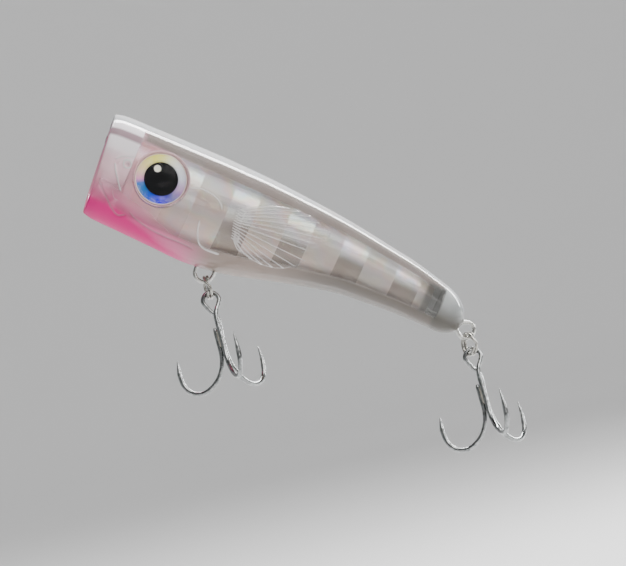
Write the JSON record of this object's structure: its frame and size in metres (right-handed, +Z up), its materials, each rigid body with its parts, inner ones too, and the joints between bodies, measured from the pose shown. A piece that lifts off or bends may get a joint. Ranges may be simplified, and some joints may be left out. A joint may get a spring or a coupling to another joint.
{
  "type": "topwater popper lure",
  "caption": "Hollow plastic popper fishing lure with a cupped face, a banded foil insert, domed eyes, a through-wire, and treble hooks that swing on split rings.",
  "frame": {"origin": "centre of the nose loop in the cupped face, where the fishing line is tied", "axes": "+Z up, with the lure floating nose up and its hooks hanging down; +X from the nose towards the tail; the lure's left side is at -Y"},
  "size_m": [0.1169, 0.0384, 0.1238],
  "materials": {
    "shell": "clear glossy plastic, pearl white back, magenta chin",
    "foil": "banded holographic foil",
    "eye_foil": "holographic foil print with a black pupil",
    "eye_dome": "clear resin dome",
    "wire": "polished stainless wire",
    "hook": "bright tinned steel",
    "weight": "plain steel"
  },
  "bodies": {
    "lure": {"body_shell_left": "shell", "body_shell_right": "shell", "foil_left": "foil", "foil_right": "foil", "eye_foil_left": "eye_foil", "eye_foil_right": "eye_foil", "eye_dome_left": "eye_dome", "eye_dome_right": "eye_dome", "through_wire": "wire", "keel_weight": "weight", "tail_weight": "weight"},
    "belly_ring": {"belly_split_ring": "hook"},
    "belly_treble": {"belly_double_hook": "hook", "belly_third_hook": "hook"},
    "tail_ring": {"tail_split_ring": "hook"},
    "tail_treble": {"tail_double_hook": "hook", "tail_third_hook": "hook"},
    "rattle_left": {"rattle_ball_left": "weight"},
    "rattle_right": {"rattle_ball_right": "weight"}
  },
  "joints": [
    {"name": "belly_ring_swing", "type": "hinge", "parent": "lure", "child": "belly_ring", "pos_m": [0.01996, 0, -0.03921], "axis": [1, 0, 0], "range_deg": [-55, 85]},
    {"name": "belly_hook_swing", "type": "hinge", "parent": "belly_ring", "child": "belly_treble", "pos_m": [0.01996, -0.00136, -0.04428], "axis": [0, 0.9659, -0.2588], "range_deg": [-35, 95]},
    {"name": "tail_ring_swing", "type": "hinge", "parent": "lure", "child": "tail_ring", "pos_m": [0.09376, 0, -0.074], "axis": [1, 0, 0], "range_deg": [-55, 85]},
    {"name": "tail_hook_swing", "type": "hinge", "parent": "tail_ring", "child": "tail_treble", "pos_m": [0.09376, -0.00136, -0.07907], "axis": [-0.3746, 0.8956, -0.24], "range_deg": [-90, 90]},
    {"name": "left_rattle_slide", "type": "slide", "parent": "lure", "child": "rattle_left", "axis": [-0.8039, 0, 0.5948], "range_m": [0, 0.009]},
    {"name": "right_rattle_slide", "type": "slide", "parent": "lure", "child": "rattle_right", "axis": [-0.8039, 0, 0.5948], "range_m": [0, 0.009]}
  ]
}
